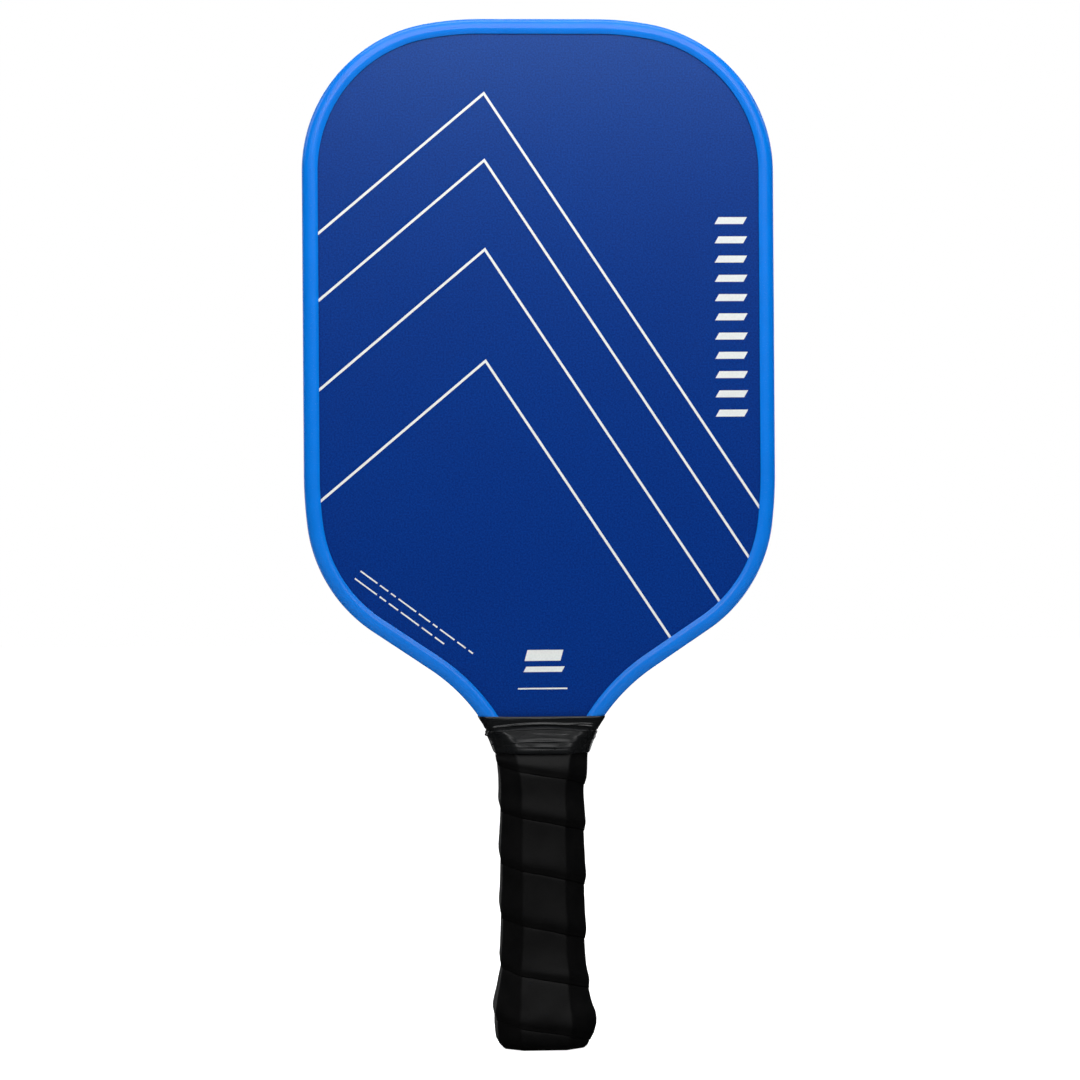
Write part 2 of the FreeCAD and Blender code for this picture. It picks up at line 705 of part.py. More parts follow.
def grip_wrap():
    """The cushioned wrap as a plain sleeve from the butt to the throat."""
    body = new_body("grip_wrap")
    section_loft(body, "Additive", "grip_foot", GRIP_FOOT)
    height, half_x, half_y, bevel = GRIP_FOOT[-1]
    straight = octagon(body, "grip_straight", str(height), str(half_x), str(half_y), str(bevel))
    pad(body, straight, f"dims.shell_straight_top - {height}")
    section_loft(body, "Additive", "grip_head", GRIP_HEAD)
    section_loft(body, "Subtractive", "grip_over_cap", CAP_OUTSIDE, "dims.cap_clearance")
    bore = octagon(body, "grip_bore", "dims.shell_bottom", *bare_handle_grown("dims.grip_backing"))
    pocket(body, bore, "dims.shell_straight_top - dims.shell_bottom", reverse=True)
    section_loft(body, "Subtractive", "grip_over_flare", SHELL_FLARE, "dims.grip_backing")
    return body


def grip_adhesive():
    """The wrap's adhesive backing along the straight stretch of the handle."""
    body = new_body("grip_adhesive")
    bottom, height = "dims.grip_backing_bottom", "dims.grip_backing_top - dims.grip_backing_bottom"
    pad(body, octagon(body, "backing_outside", bottom, *bare_handle_grown("dims.grip_backing")), height)
    inside = octagon(body, "backing_inside", bottom, *bare_handle_grown("0"))
    pocket(body, inside, height, reverse=True)
    return body


def throat_ring(label, inside, wall):
    """A ring round the throat with an even wall, from the table of its inside sections."""
    body = new_body(label)
    section_loft(body, "Additive", label + "_outside", inside, str(wall))
    section_loft(body, "Subtractive", label + "_inside", inside)
    return body


def make_grip():
    return [
        grip_wrap(),
        grip_adhesive(),
        throat_ring("finishing_tape", TAPE_INSIDE, TAPE_WALL),
        throat_ring("throat_collar", COLLAR_INSIDE, COLLAR_WALL),
    ]


# ---------------------------------------------------------------- build, check, write


def check(parts):
    """Stops if anything in the document failed or a part isn't made of sound solids."""
    doc.recompute()
    for item in doc.Objects:
        if {"Invalid", "Error"} & set(item.State):
            raise RuntimeError(f"{item.Label} failed: {item.State}")
    for part in parts:
        shape = part.Shape
        if shape.isNull() or not shape.isValid() or not shape.Solids:
            raise RuntimeError(f"{part.Label} has no valid solid")
        print(f"{part.Label}: {len(shape.Solids)} solid(s), {shape.Volume / 1000:.2f} cm3")


def main():
    fill_sheet()
    parts = make_panel() + make_edge() + make_handle() + make_grip()
    check(parts)
    os.makedirs("parts", exist_ok=True)
    for part in parts:
        part.Shape.exportStep(f"parts/{part.Label}.step")


main()
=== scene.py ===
"""The pickleball paddle's looks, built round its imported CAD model.

Lengths are in millimetres until a mesh is made, and metres after that. The frame is the CAD frame:
+Z from the butt to the head, X across the face, the front face looking along -Y.
"""

from math import asin, cos, degrees, exp, pi, radians, sin, tan

import bmesh
import bpy
from mathutils import Matrix, Vector, noise
from mathutils.geometry import intersect_line_line_2d


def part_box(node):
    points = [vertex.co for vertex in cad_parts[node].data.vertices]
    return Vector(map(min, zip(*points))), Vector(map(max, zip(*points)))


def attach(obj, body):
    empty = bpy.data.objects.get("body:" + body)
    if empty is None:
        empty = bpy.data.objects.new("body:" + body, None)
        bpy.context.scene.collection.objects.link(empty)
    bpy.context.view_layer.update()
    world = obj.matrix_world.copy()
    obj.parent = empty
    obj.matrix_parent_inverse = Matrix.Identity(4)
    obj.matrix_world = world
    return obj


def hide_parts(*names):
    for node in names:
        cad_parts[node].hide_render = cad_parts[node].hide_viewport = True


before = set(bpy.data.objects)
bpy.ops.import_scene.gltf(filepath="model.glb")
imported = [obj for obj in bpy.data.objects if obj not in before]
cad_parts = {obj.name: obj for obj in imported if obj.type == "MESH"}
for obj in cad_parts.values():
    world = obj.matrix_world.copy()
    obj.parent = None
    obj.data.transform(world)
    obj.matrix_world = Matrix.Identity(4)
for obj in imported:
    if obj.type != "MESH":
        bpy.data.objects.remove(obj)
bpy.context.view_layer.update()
MM = 0.001


def node_box(node):
    """A CAD node's lowest and highest corners, in millimetres."""
    low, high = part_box(node)
    return low / MM, high / MM


# ---------------------------------------------------------------- mesh helpers


def make_piece(name, points, faces, slot, material, replaced=(), sharp=40, pressed=None):
    """A piece of the paddle from points in millimetres, smooth up to the sharp angle in degrees."""
    mesh = bpy.data.meshes.new(name)
    mesh.from_pydata([Vector(p) * MM for p in points], [], faces)
    # An optional mask of painted shade, one value per point, kept as a mesh attribute for the
    # material.
    if pressed:
        layer = mesh.attributes.new("pressed", "FLOAT", "POINT")
        layer.data.foreach_set("value", pressed)
    work = bmesh.new()
    work.from_mesh(mesh)
    bmesh.ops.remove_doubles(work, verts=work.verts, dist=0.002 * MM)
    bmesh.ops.dissolve_degenerate(work, edges=work.edges, dist=0.002 * MM)
    bmesh.ops.recalc_face_normals(work, faces=work.faces)
    work.to_mesh(mesh)
    work.free()
    mesh.shade_smooth()
    mesh.set_sharp_from_angle(angle=radians(sharp))
    mesh.materials.append(material)
    piece = bpy.data.objects.new(name, mesh)
    bpy.context.scene.collection.objects.link(piece)
    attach(piece, "root")
    if replaced:
        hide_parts(*replaced)
    return piece


def join_meshes(parts):
    """One list of points and one of faces from several (points, faces) pairs."""
    points, faces = [], []
    for part_points, part_faces in parts:
        first = len(points)
        points += part_points
        faces += [[first + k for k in face] for face in part_faces]
    return points, faces


def ring_faces(ring_count, ring_size, closed):
    """Quads between neighbouring rings of points, and from the last ring to the first if closed."""
    faces = []
    for ring in range(ring_count if closed else ring_count - 1):
        after = (ring + 1) % ring_count
        for k in range(ring_size):
            nxt = (k + 1) % ring_size
            corners = (ring * ring_size + k, ring * ring_size + nxt)
            faces.append([*corners, after * ring_size + nxt, after * ring_size + k])
    return faces


def prism(outline, near, far):
    """A flat plate: an outline in X and Z between two values of Y."""
    count = len(outline)
    points = [(x, y, z) for y in (near, far) for x, z in outline]
    faces = [list(range(count)), [count + k for k in reversed(range(count))]]
    for k in range(count):
        nxt = (k + 1) % count
        faces.append([k, nxt, count + nxt, count + k])
    return points, faces


def corner_arc(before, corner, after, radius, steps):
    """Points that round a corner between its neighbours with a true arc."""
    to_before = (before - corner).normalized()
    to_after = (after - corner).normalized()
    half = to_before.angle(to_after) / 2
    centre = corner + (to_before + to_after).normalized() * (radius / sin(half))
    start = (corner + to_before * (radius / tan(half)) - centre).normalized()
    end = (corner + to_after * (radius / tan(half)) - centre).normalized()
    return [centre + start.slerp(end, k / steps) * radius for k in range(steps + 1)]


def rounded_polygon(corners, steps):
    """A closed outline from (x, y, radius) corners."""
    spots = [Vector((x, y)) for x, y, radius in corners]
    outline = []
    for k, corner in enumerate(corners):
        after = spots[(k + 1) % len(spots)]
        outline += corner_arc(spots[k - 1], spots[k], after, corner[2], steps)
    return outline


# ---------------------------------------------------------------- the panel's outline

PANEL_LOW, PANEL_HIGH = node_box("front_face_skin")
FACE_Y = -PANEL_LOW.y
OUTLINE_STEP = 1.4
TOP_FLAT_HALF = 23.3
CROWN_RADIUS, CORNER_RADIUS = 120.6, 59.0
LOWER_SIDE_RADIUS, SHOULDER_RADIUS, THROAT_RADIUS = 176.0, 58.3, 78.3
SIDE_BOTTOM, SHOULDER_TOP = 233.0, 211.8
NECK_ANGLE = 33.9
TONGUE_HALF_WIDTH = 9.6


def outline_pieces():
    """Straight runs (length, 0) and arcs (radius, turn in degrees), from the top's middle down."""
    crown_run = PANEL_HIGH.x - TOP_FLAT_HALF - CORNER_RADIUS
    crown = degrees(asin(crown_run / (CROWN_RADIUS - CORNER_RADIUS)))
    crown_drop = (CROWN_RADIUS - CORNER_RADIUS) * (1 - cos(radians(crown)))
    side = PANEL_HIGH.z - crown_drop - CORNER_RADIUS - SIDE_BOTTOM
    lower = degrees(asin((SIDE_BOTTOM - SHOULDER_TOP) / LOWER_SIDE_RADIUS))
    shoulder = 90 - NECK_ANGLE - lower
    lower_x = PANEL_HIGH.x - LOWER_SIDE_RADIUS * (1 - cos(radians(lower)))
    neck_top = lower_x - SHOULDER_RADIUS * (cos(radians(lower)) - sin(radians(NECK_ANGLE)))
    neck_bottom = TONGUE_HALF_WIDTH + THROAT_RADIUS * (1 - sin(radians(NECK_ANGLE)))
    return [
        (TOP_FLAT_HALF, 0),
        (CROWN_RADIUS, crown),
        (CORNER_RADIUS, 90 - crown),
        (side, 0),
        (LOWER_SIDE_RADIUS, lower),
        (SHOULDER_RADIUS, shoulder),
        ((neck_top - neck_bottom) / cos(radians(NECK_ANGLE)), 0),
        (-THROAT_RADIUS, 90 - NECK_ANGLE),
    ]


def ahead(heading):
    """The way an edge runs, from its heading in degrees."""
    return Vector((cos(radians(heading)), sin(radians(heading))))


def outward(heading):
    """The way out of the panel from an edge with this heading."""
    return Vector((-sin(radians(heading)), cos(radians(heading))))


def half_outline():
    """The right half of the panel's edge as (point, outward direction) pairs, in X and Z."""
    spot, heading = Vector((0, PANEL_HIGH.z)), 0.0
    walk = []
    for size, turn in outline_pieces():
        sweep = -turn if size > 0 else turn
        length = abs(size) * radians(turn) if turn else size
        count = max(2, round(length / OUTLINE_STEP))
        centre = spot - outward(heading) * size
        for k in range(count):
            part = k / count
            side = outward(heading + sweep * part)
            place = centre + side * size if turn else spot + ahead(heading) * size * part
            walk.append((place, side))
        if turn:
            heading += sweep
            spot = centre + outward(heading) * size
        else:
            spot = spot + ahead(heading) * size
    walk.append((spot, outward(heading)))
    return walk


def whole_outline(lowest):
    """The panel's edge from the left side of the throat over the top to the right side."""
    right = [(spot, side) for spot, side in half_outline() if spot.y >= lowest]
    left = [(Vector((-p.x, p.y)), Vector((-n.x, n.y))) for p, n in reversed(right[1:])]
    return left + right


# ---------------------------------------------------------------- materials


def link(tree, source, output, target, entry):
    """Joins one node's output to another's input, both by name."""
    tree.links.new(source.outputs[output], target.inputs[entry])


def add_node(tree, kind, **settings):
    """A new node with these inputs and properties set."""
    node = tree.nodes.new(kind)
    for name, value in settings.items():
        if name in node.inputs:
            node.inputs[name].default_value = value
        else:
            setattr(node, name, value)
    return node


def new_material(name, **sockets):
    """A material whose Principled shader has these sockets set, with object coordinates ready."""
    material = bpy.data.materials.new(name)
    material.use_nodes = True
    tree = material.node_tree
    shader = tree.nodes["Principled BSDF"]
    for socket, value in sockets.items():
        shader.inputs[socket.replace("_", " ")].default_value = value
    coords = tree.nodes.new("ShaderNodeTexCoord")
    return material, tree, shader, coords


def noise_node(tree, coords, scale, detail=2.0, rough=0.5, stretch=None):
    """A noise pattern on the object; scale is in features per metre."""
    texture = add_node(tree, "ShaderNodeTexNoise", Scale=scale, Detail=detail, Roughness=rough)
    if stretch:
        mapping = add_node(tree, "ShaderNodeMapping", Scale=stretch)
        link(tree, coords, "Object", mapping, "Vector")
        link(tree, mapping, "Vector", texture, "Vector")
    else:
        link(tree, coords, "Object", texture, "Vector")
    return texture


def colour_ramp(tree, source, output, low, high, start=0.3, stop=0.7):
    """Turns a pattern into a blend of two colours."""
    ramp = add_node(tree, "ShaderNodeValToRGB")
    for element, position, colour in zip(ramp.color_ramp.elements, (start, stop), (low, high)):
        element.position = position
        element.color = (*colour, 1)
    link(tree, source, output, ramp, "Fac")
    return ramp


def value_range(tree, source, output, low, high):
    """Turns a pattern into numbers between low and high."""
    mapped = add_node(tree, "ShaderNodeMapRange")
    mapped.inputs["To Min"].default_value = low
    mapped.inputs["To Max"].default_value = high
    link(tree, source, output, mapped, "Value")
    return mapped


def paint(tree, shader, pattern, low, high):
    """Colours the shader with a pattern's blend of two colours."""
    ramp = colour_ramp(tree, pattern, "Fac", low, high)
    link(tree, ramp, "Color", shader, "Base Color")


def paint_shaded(tree, shader, colours, shades):
    """Colours the shader with one blend of colours, darkened by another."""
    mix = add_node(
        tree, "ShaderNodeMix", data_type="RGBA", blend_type="MULTIPLY", Factor=1.0
    )
    link(tree, colours, "Color", mix, "A")
    link(tree, shades, "Color", mix, "B")
    link(tree, mix, "Result", shader, "Base Color")


def roughen(tree, shader, pattern, low, high):
    """Varies the shader's roughness with a pattern."""
    rough = value_range(tree, pattern, "Fac", low, high)
    link(tree, rough, "Result", shader, "Roughness")


def bump_chain(tree, shader, patterns):
    """Stacks bumps, each (pattern node, output, height in metres, strength)."""
    last = None
    for source, output, height, strength in patterns:
        bump = add_node(tree, "ShaderNodeBump", Strength=strength, Distance=height)
        link(tree, source, output, bump, "Height")
        if last:
            link(tree, last, "Normal", bump, "Normal")
        last = bump
    link(tree, last, "Normal", shader, "Normal")


def laminate_material():
    """Navy face laminate: a fine plain weave with a satin gloss and a faint mottle."""
    material, tree, shader, coords = new_material(
        "face_laminate", Specular_IOR_Level=0.6, Specular_Tint=(0.35, 0.6, 1.0, 1.0)
    )
    mottle = noise_node(tree, coords, 1500, 3.0, 0.6)
    cloud = noise_node(tree, coords, 14, 3.0, 0.5)
    fine = colour_ramp(
        tree, mottle, "Fac", (0.0, 0.019, 0.172), (0.0, 0.036, 0.262), 0.36, 0.64
    )
    broad = colour_ramp(tree, cloud, "Fac", (0.90, 0.92, 0.95), (1.0, 1.0, 1.0))
    paint_shaded(tree, shader, fine, broad)
    roughen(tree, shader, mottle, 0.23, 0.26)
    bumps = []
    for axis in ("X", "Z"):
        weave = add_node(
            tree, "ShaderNodeTexWave", Scale=330.0, Distortion=0.6, bands_direction=axis
        )
        link(tree, coords, "Object", weave, "Vector")
        bumps.append((weave, "Fac", 0.00002, 0.2))
    bump_chain(tree, shader, bumps + [(mottle, "Fac", 0.00003, 0.2)])
    return material


def ink_material():
    """White printing ink, a touch uneven over the weave."""
    material, tree, shader, coords = new_material("print_ink", Roughness=0.45)
    grain = noise_node(tree, coords, 1400, 3.0)
    paint(tree, shader, grain, (0.72, 0.755, 0.735), (0.80, 0.825, 0.81))
    bump_chain(tree, shader, [(grain, "Fac", 0.00003, 0.3)])
    return material


def guard_material():
    """Bright blue elastomer with a satin skin and a faint unevenness."""
    material, tree, shader, coords = new_material(
        "edge_guard", Specular_IOR_Level=0.34, Specular_Tint=(1.0, 0.62, 0.36, 1.0)
    )
    cloud = noise_node(tree, coords, 60, 4.0)
    fine = noise_node(tree, coords, 2600, 2.0)
    paint(tree, shader, cloud, (0.0, 0.176, 0.71), (0.0, 0.198, 0.78))
    roughen(tree, shader, fine, 0.22, 0.30)
    bump_chain(tree, shader, [(fine, "Fac", 0.00002, 0.25), (cloud, "Fac", 0.0002, 0.04)])
    return material


def grip_material():
    """Black cushioned polyurethane: a fine hide-like grain, with painted shade darkening the band
    above each lap edge, which is also duller.
    """
    material, tree, shader, coords = new_material("grip_wrap", Specular_IOR_Level=0.145)
    cells = add_node(tree, "ShaderNodeTexVoronoi", Scale=1700.0, feature="DISTANCE_TO_EDGE")
    link(tree, coords, "Object", cells, "Vector")
    pores = noise_node(tree, coords, 2600, 3.0)
    cloud = noise_node(tree, coords, 120, 4.0)
    pressed = add_node(tree, "ShaderNodeAttribute", attribute_name="pressed")
    black = colour_ramp(tree, cloud, "Fac", (0.0016, 0.0016, 0.0018), (0.0030, 0.0029, 0.0030))
    # Painted shade: the lap mask darkens the base colour to 0.3 in the band above each lap edge,
    # and roughens it there.
    lapped = colour_ramp(tree, pressed, "Fac", (1.0, 1.0, 1.0), (0.3, 0.3, 0.3), 0.0, 1.0)
    paint_shaded(tree, shader, black, lapped)
    even = value_range(tree, cloud, "Fac", 0.42, 0.54)
    dulled = value_range(tree, pressed, "Fac", 0.0, 0.8)
    link(tree, even, "Result", dulled, "To Min")
    link(tree, dulled, "Result", shader, "Roughness")
    bump_chain(tree, shader, [
        (cells, "Distance", 0.00008, 0.45),
        (pores, "Fac", 0.00003, 0.2),
        (cloud, "Fac", 0.0004, 0.10),
    ])
    return material


def vinyl_material(name, roughness, gloss):
    """Black vinyl or rubber, stretched tight: smooth, with faint drawn ripples."""
    material, tree, shader, coords = new_material(name, Specular_IOR_Level=gloss)
    ripple = noise_node(tree, coords, 260, 3.0, 0.55, (0.35, 0.35, 1.6))
    paint(tree, shader, ripple, (0.0045, 0.005, 0.0055), (0.008, 0.0085, 0.009))
    roughen(tree, shader, ripple, roughness * 0.8, roughness * 1.2)
    bump_chain(tree, shader, [(ripple, "Fac", 0.0005, 0.045)])
    return material


def moulded_material(name, low, high, roughness, grain=1500):
    """Moulded plastic, fibre or film: two close shades and an even fine grain."""
    material, tree, shader, coords = new_material(name)
    texture = noise_node(tree, coords, grain, 3.0)
    paint(tree, shader, texture, low, high)
    roughen(tree, shader, texture, roughness - 0.06, roughness + 0.06)
    bump_chain(tree, shader, [(texture, "Fac", 0.00004, 0.35)])
    return material


def badge_material():
    """A plain glossy disc with fine turned rings."""
    material, tree, shader, coords = new_material(
        "butt_badge", Coat_Weight=0.5, Coat_Roughness=0.15
    )
    rings = add_node(
        tree, "ShaderNodeTexWave", Scale=500.0, wave_type="RINGS", rings_direction="Z"
    )
    link(tree, coords, "Object", rings, "Vector")
    paint(tree, shader, rings, (0.020, 0.021, 0.023), (0.034, 0.035, 0.038))
    roughen(tree, shader, rings, 0.22, 0.34)
    bump_chain(tree, shader, [(rings, "Fac", 0.00003, 0.3)])
    return material


def steel_material():
    """Plated staple wire."""
    material, tree, shader, coords = new_material("staple_steel", Metallic=1.0)
    drawn = noise_node(tree, coords, 900, 2.0)
    paint(tree, shader, drawn, (0.50, 0.50, 0.51), (0.66, 0.66, 0.67))
    roughen(tree, shader, drawn, 0.25, 0.4)
    return material


def dress_cad_nodes(laminate):
    """Gives each CAD node that stays its material."""
    core = moulded_material("core_polymer", (0.78, 0.79, 0.80), (0.88, 0.88, 0.88), 0.5, 400)
    cap = moulded_material("cap_plastic", (0.010, 0.010, 0.011), (0.016, 0.016, 0.017), 0.46)
    veil = moulded_material("veil_fibre", (0.70, 0.70, 0.66), (0.90, 0.90, 0.86), 0.85, 700)
    shell = moulded_material("shell_plastic", (0.035, 0.036, 0.038), (0.055, 0.056, 0.058), 0.55)
    glue = moulded_material("adhesive_film", (0.62, 0.55, 0.38), (0.74, 0.68, 0.52), 0.4, 500)
    looks = {
        "honeycomb_core": core,
        "butt_cap": cap,
        "butt_badge": badge_material(),
        "butt_cap_staples": steel_material(),
        "edge_guard_tape": glue,
        "grip_adhesive": glue,
    }
    for side in ("front", "back"):
        looks[f"{side}_face_skin"] = laminate
        looks[f"{side}_core_veil"] = veil
        looks[f"handle_shell_{side}"] = shell
        looks[f"shell_tape_{side}"] = glue
    for node, material in looks.items():
        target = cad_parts[node]
        target.data.materials.clear()
        target.data.materials.append(material)


# ---------------------------------------------------------------- edge guard

GUARD_OUT = 1.7  # how far it stands out from the panel's edge
GUARD_FACE = 9.5  # half its thickness
GUARD_ROUND = 4.1  # its outer rounding
GUARD_LIP = 4.7  # how far a lip reaches in over the face
LIP_SLOPE, LIP_ROUND = 1.5, 3.0  # where a lip starts to fall to its tip, and how softly
LIP_RISE = 0.75  # height of a lip's tip over the face
LIP_CLEARANCE = 0.3  # gap under a lip
GUARD_INSIDE = 0.2  # gap between the wall and the panel's edge
PROFILE_STEPS = 6


def guard_profile():
    """The U section as (outward, Y) points: a full round outside and soft lip tips."""
    lip_low = FACE_Y + LIP_CLEARANCE
    upper = [
        (GUARD_OUT, GUARD_FACE, GUARD_ROUND),
        (-GUARD_LIP + LIP_SLOPE, GUARD_FACE, LIP_ROUND),
        (-GUARD_LIP, FACE_Y + LIP_RISE, 0.35),
        (-GUARD_LIP, lip_low, 0.12),
        (GUARD_INSIDE, lip_low, 0.1),
    ]
    lower = [(out, -y, radius) for out, y, radius in reversed(upper)]
    return rounded_polygon(upper + lower, PROFILE_STEPS)


def build_guard(material):
    """Sweeps the section round the panel's edge."""
    lowest = node_box("edge_guard")[0].z
    profile = guard_profile()
    points = []
    for spot, side in whole_outline(lowest):
        for out, y in profile:
            place = spot + side * out
            points.append((place.x, y, place.y))
    rings = len(points) // len(profile)
    faces = ring_faces(rings, len(profile), closed=False)
    faces.append(list(range(len(profile))))
    faces.append([len(points) - 1 - k for k in range(len(profile))])
    make_piece("edge_guard_strip", points, faces, "guard", material, ["edge_guard"], sharp=50)


# ---------------------------------------------------------------- print

INK = 0.03  # thickness of the ink
UNDER_LIP = 2.5  # how far a line runs in under the guard's lip
# Plain folded lines: each climbs from the left edge, folds and falls to the right edge.
LINE_WIDTH = 1.0
FOLD_LEFT, FOLD_TOP, FOLD_RIGHT = Vector((-110, 312)), Vector((-22, 386)), Vector((110, 186))
FOLD_DROPS = [0.0, 27.0, 63.0, 108.0]
# A column of plain leaning bars beside the right edge.
BAR_COUNT, BAR_X, BAR_LOWEST, BAR_STEP = 11, 77.8, 256.5, 7.8
BAR_LENGTH, BAR_WIDTH, BAR_LEAN = 11.6, 2.8, 1.6
# Two rows of plain dashes along the lower left edge.
DASH_ANGLE = -36.7
DASH_STARTS = [(-73.0, 193.6), (-75.3, 190.6)]
DASH_LENGTHS = [(8.4, 4.0, 2.4, 8.8, 5.6, 2.2, 7.2, 4.2, 2.2), (11.0, 3.2, 4.6, 9.0, 5.2, 4.6)]
DASH_WIDTH, DASH_GAP = 0.6, 1.4
# Plain bars over the throat: X and Z of the middle, length, width and lean.
THROAT_BARS = [
    (0.8, 159.0, 14.5, 4.4, 1.2),
    (0.8, 153.4, 15.5, 2.2, 1.2),
    (0.2, 145.6, 20.0, 0.6, 0.0),
]
ACROSS = Vector((1, 0))


def meet_edge(start, end):
    """Where a line from start to end runs in under the guard's lip."""
    rim = [spot - side * UNDER_LIP for spot, side in whole_outline(node_box("edge_guard")[0].z)]
    for first, second in zip(rim, rim[1:]):
        crossing = intersect_line_line_2d(start, end, first, second)
        if crossing:
            return crossing
    return end


def stripe(spots, width):
    """The outline of a mitred line of even width through spots."""
    left, right = [], []
    for k, spot in enumerate(spots):
        before = (spot - spots[k - 1]).normalized() if k else None
        after = (spots[k + 1] - spot).normalized() if k + 1 < len(spots) else None
        along = ((before or after) + (after or before)).normalized()
        stretch = along.dot(after or before)
        side = Vector((-along.y, along.x)) * (width / 2 / stretch)
        left.append(spot + side)
        right.append(spot - side)
    return left + right[::-1]


def bar(centre, along, length, width, lean=0.0):
    """A plain bar's outline; lean slides its upper side along it."""
    across = Vector((-along.y, along.x))
    corners = []
    for end, side in ((-1, -1), (1, -1), (1, 1), (-1, 1)):
        slide = end * length / 2 + side * lean / 2
        corners.append(centre + along * slide + across * side * width / 2)
    return corners


def fold_lines():
    """The folded lines' outlines, from lip to lip."""
    outlines = []
    for fall in FOLD_DROPS:
        drop = Vector((0, -fall))
        top = FOLD_TOP + drop
        ends = [meet_edge(top, FOLD_LEFT + drop), meet_edge(top, FOLD_RIGHT + drop)]
        outlines.append(stripe([ends[0], top, ends[1]], LINE_WIDTH))
    return outlines


def side_bars():
    """The outlines of the column of leaning bars."""
    outlines = []
    for k in range(BAR_COUNT):
        centre = Vector((BAR_X, BAR_LOWEST + BAR_STEP * k))
        outlines.append(bar(centre, ACROSS, BAR_LENGTH, BAR_WIDTH, BAR_LEAN))
    return outlines


def small_marks():
    """The outlines of the dashes and of the bars over the throat."""
    outlines = []
    along = ahead(DASH_ANGLE)
    for first, lengths in zip(DASH_STARTS, DASH_LENGTHS):
        start = Vector(first)
        for length in lengths:
            outlines.append(bar(start + along * length / 2, along, length, DASH_WIDTH))
            start = start + along * (length + DASH_GAP)
    for x, z, length, width, lean in THROAT_BARS:
        outlines.append(bar(Vector((x, z)), ACROSS, length, width, lean))
    return outlines


def print_face(name, outlines, side, material):
    """Lays ink on the front (side -1) or the back (side 1), a mirror image of it."""
    near, far = side * FACE_Y, side * (FACE_Y + INK)
    plates = [prism([(x * -side, z) for x, z in outline], near, far) for outline in outlines]
    make_piece(name, *join_meshes(plates), "face_laminate", material)


# ---------------------------------------------------------------- handle sections

# Steps round each corner of an octagon, and along each of its sides.
ARC_STEPS = 4
GRIP_STEPS, SLEEVE_STEPS = 8, 22


def section(half_x, half_y, bevel, rounding, steps=GRIP_STEPS):
    """An octagon with rounded corners, counter-clockwise, with the same count each time."""
    flat_x, flat_y = half_x - bevel, half_y - bevel
    quarter = [(flat_x, half_y), (half_x, flat_y)]
    corners = [(-x, y) for x, y in quarter] + [(-x, -y) for x, y in reversed(quarter)]
    corners += [(x, -y) for x, y in quarter] + [(x, y) for x, y in reversed(quarter)]
    spots = [Vector(corner) for corner in corners]
    arcs = []
    for k, spot in enumerate(spots):
        arcs.append(corner_arc(spots[k - 1], spot, spots[(k + 1) % 8], rounding, ARC_STEPS))
    loop = []
    for k, arc in enumerate(arcs):
        start = arcs[k - 1][-1]
        loop += [start.lerp(arc[0], step / steps) for step in range(1, steps)]
        loop += arc
    return loop


def fractions(loop):
    """How far round each point is, as a part of a full turn, counted from the front's middle."""
    lengths = [0.0]
    for k, point in enumerate(loop):
        lengths.append(lengths[-1] + (loop[(k + 1) % len(loop)] - point).length)
    front = min(range(len(loop)), key=lambda k: (round(loop[k].y, 3), abs(loop[k].x)))
    return [(length - lengths[front]) / lengths[-1] for length in lengths[:-1]]


def blend_table(table, place):
    """Values blended between the rows of a table, which start with a height or another place."""
    if place <= table[0][0]:
        return table[0][1:]
    for low, high in zip(table, table[1:]):
        if place <= high[0]:
            part = (place - low[0]) / (high[0] - low[0])
            return [a + (b - a) * part for a, b in zip(low[1:], high[1:])]
    return table[-1][1:]


def hump(value, centre, width):
    """A smooth bump from 0 up to 1 at the centre."""
    return exp(-(((value - centre) / width) ** 2))


# ---------------------------------------------------------------- grip wrap

# Height, half width, half thickness, bevel and corner rounding under the strip's steps.
GRIP_TABLE = [
    (0.3, 16.0, 14.6, 7.0, 1.3),
    (0.9, 16.9, 15.4, 7.3, 1.5),
    (1.9, 17.8, 16.0, 7.7, 1.8),
    (3.4, 18.5, 16.4, 8.8, 1.8),
    (6.0, 19.1, 16.7, 9.2, 1.9),
    (10.0, 19.4, 16.8, 9.3, 1.9),
    (15.0, 19.3, 16.7, 9.3, 1.9),
    (21.0, 18.7, 16.1, 9.0, 1.9),
    (27.0, 17.8, 15.2, 8.4, 1.9),
    (33.0, 16.9, 14.3, 7.7, 1.9),
    (40.0, 16.7, 14.1, 8.0, 1.8),
    (104.0, 16.7, 14.1, 8.0, 1.8),
    (110.0, 17.2, 14.1, 7.7, 1.8),
    (115.0, 17.9, 13.7, 7.8, 2.0),
    (119.0, 18.5, 12.8, 7.6, 2.0),
    (122.0, 18.9, 11.7, 5.5, 2.0),
]
# The sleeve's inside: half width, half thickness, bevel and corner rounding.
GRIP_INSIDE = (15.4, 12.8, 7.0, 0.6)
# A height on the straight part of the handle.
STRAIGHT_HEIGHT = 60.0
# The finishing tape and collar squeeze the strip flat above this height, over this distance.
TAPED_FROM, TAPED_OVER = 116.5, 2.8
# The band of painted shade above the strip's lower edge fades out over this range of phase.
LAP_FULL, LAP_END = 0.05, 0.19
# Heights of the strip's lower edge at the middle of the front, turn by turn, past both ends.
TURN_EDGES = [-34.0, -13.0, 7.5, 28.5, 48.3, 70.5, 92.1, 110.5, 131.0, 152.0]
# How far that edge wanders up and down.
WANDER = 0.35
# The strip's surface over one turn: phase above its lower edge, and height over the layer below.
STRIP_RISE = [
    (0.0, -0.16), (0.002, 0.04), (0.006, 0.18), (0.014, 0.27), (0.03, 0.31),
    (0.055, 0.40), (0.08, 0.53), (0.11, 0.70), (0.14, 0.81), (0.18, 0.86),
    (0.24, 0.82), (0.33, 0.67), (0.44, 0.48), (0.56, 0.31), (0.68, 0.18),
    (0.80, 0.08), (0.90, 0.01), (0.96, -0.03), (0.99, -0.09), (1.0, -0.16),
]
# Uneven squash of the cushion: broad dents, deeper round the butt, and fine ones.
DENT, BUTT_DENT, FINE_DENT = 0.20, 0.45, 0.07
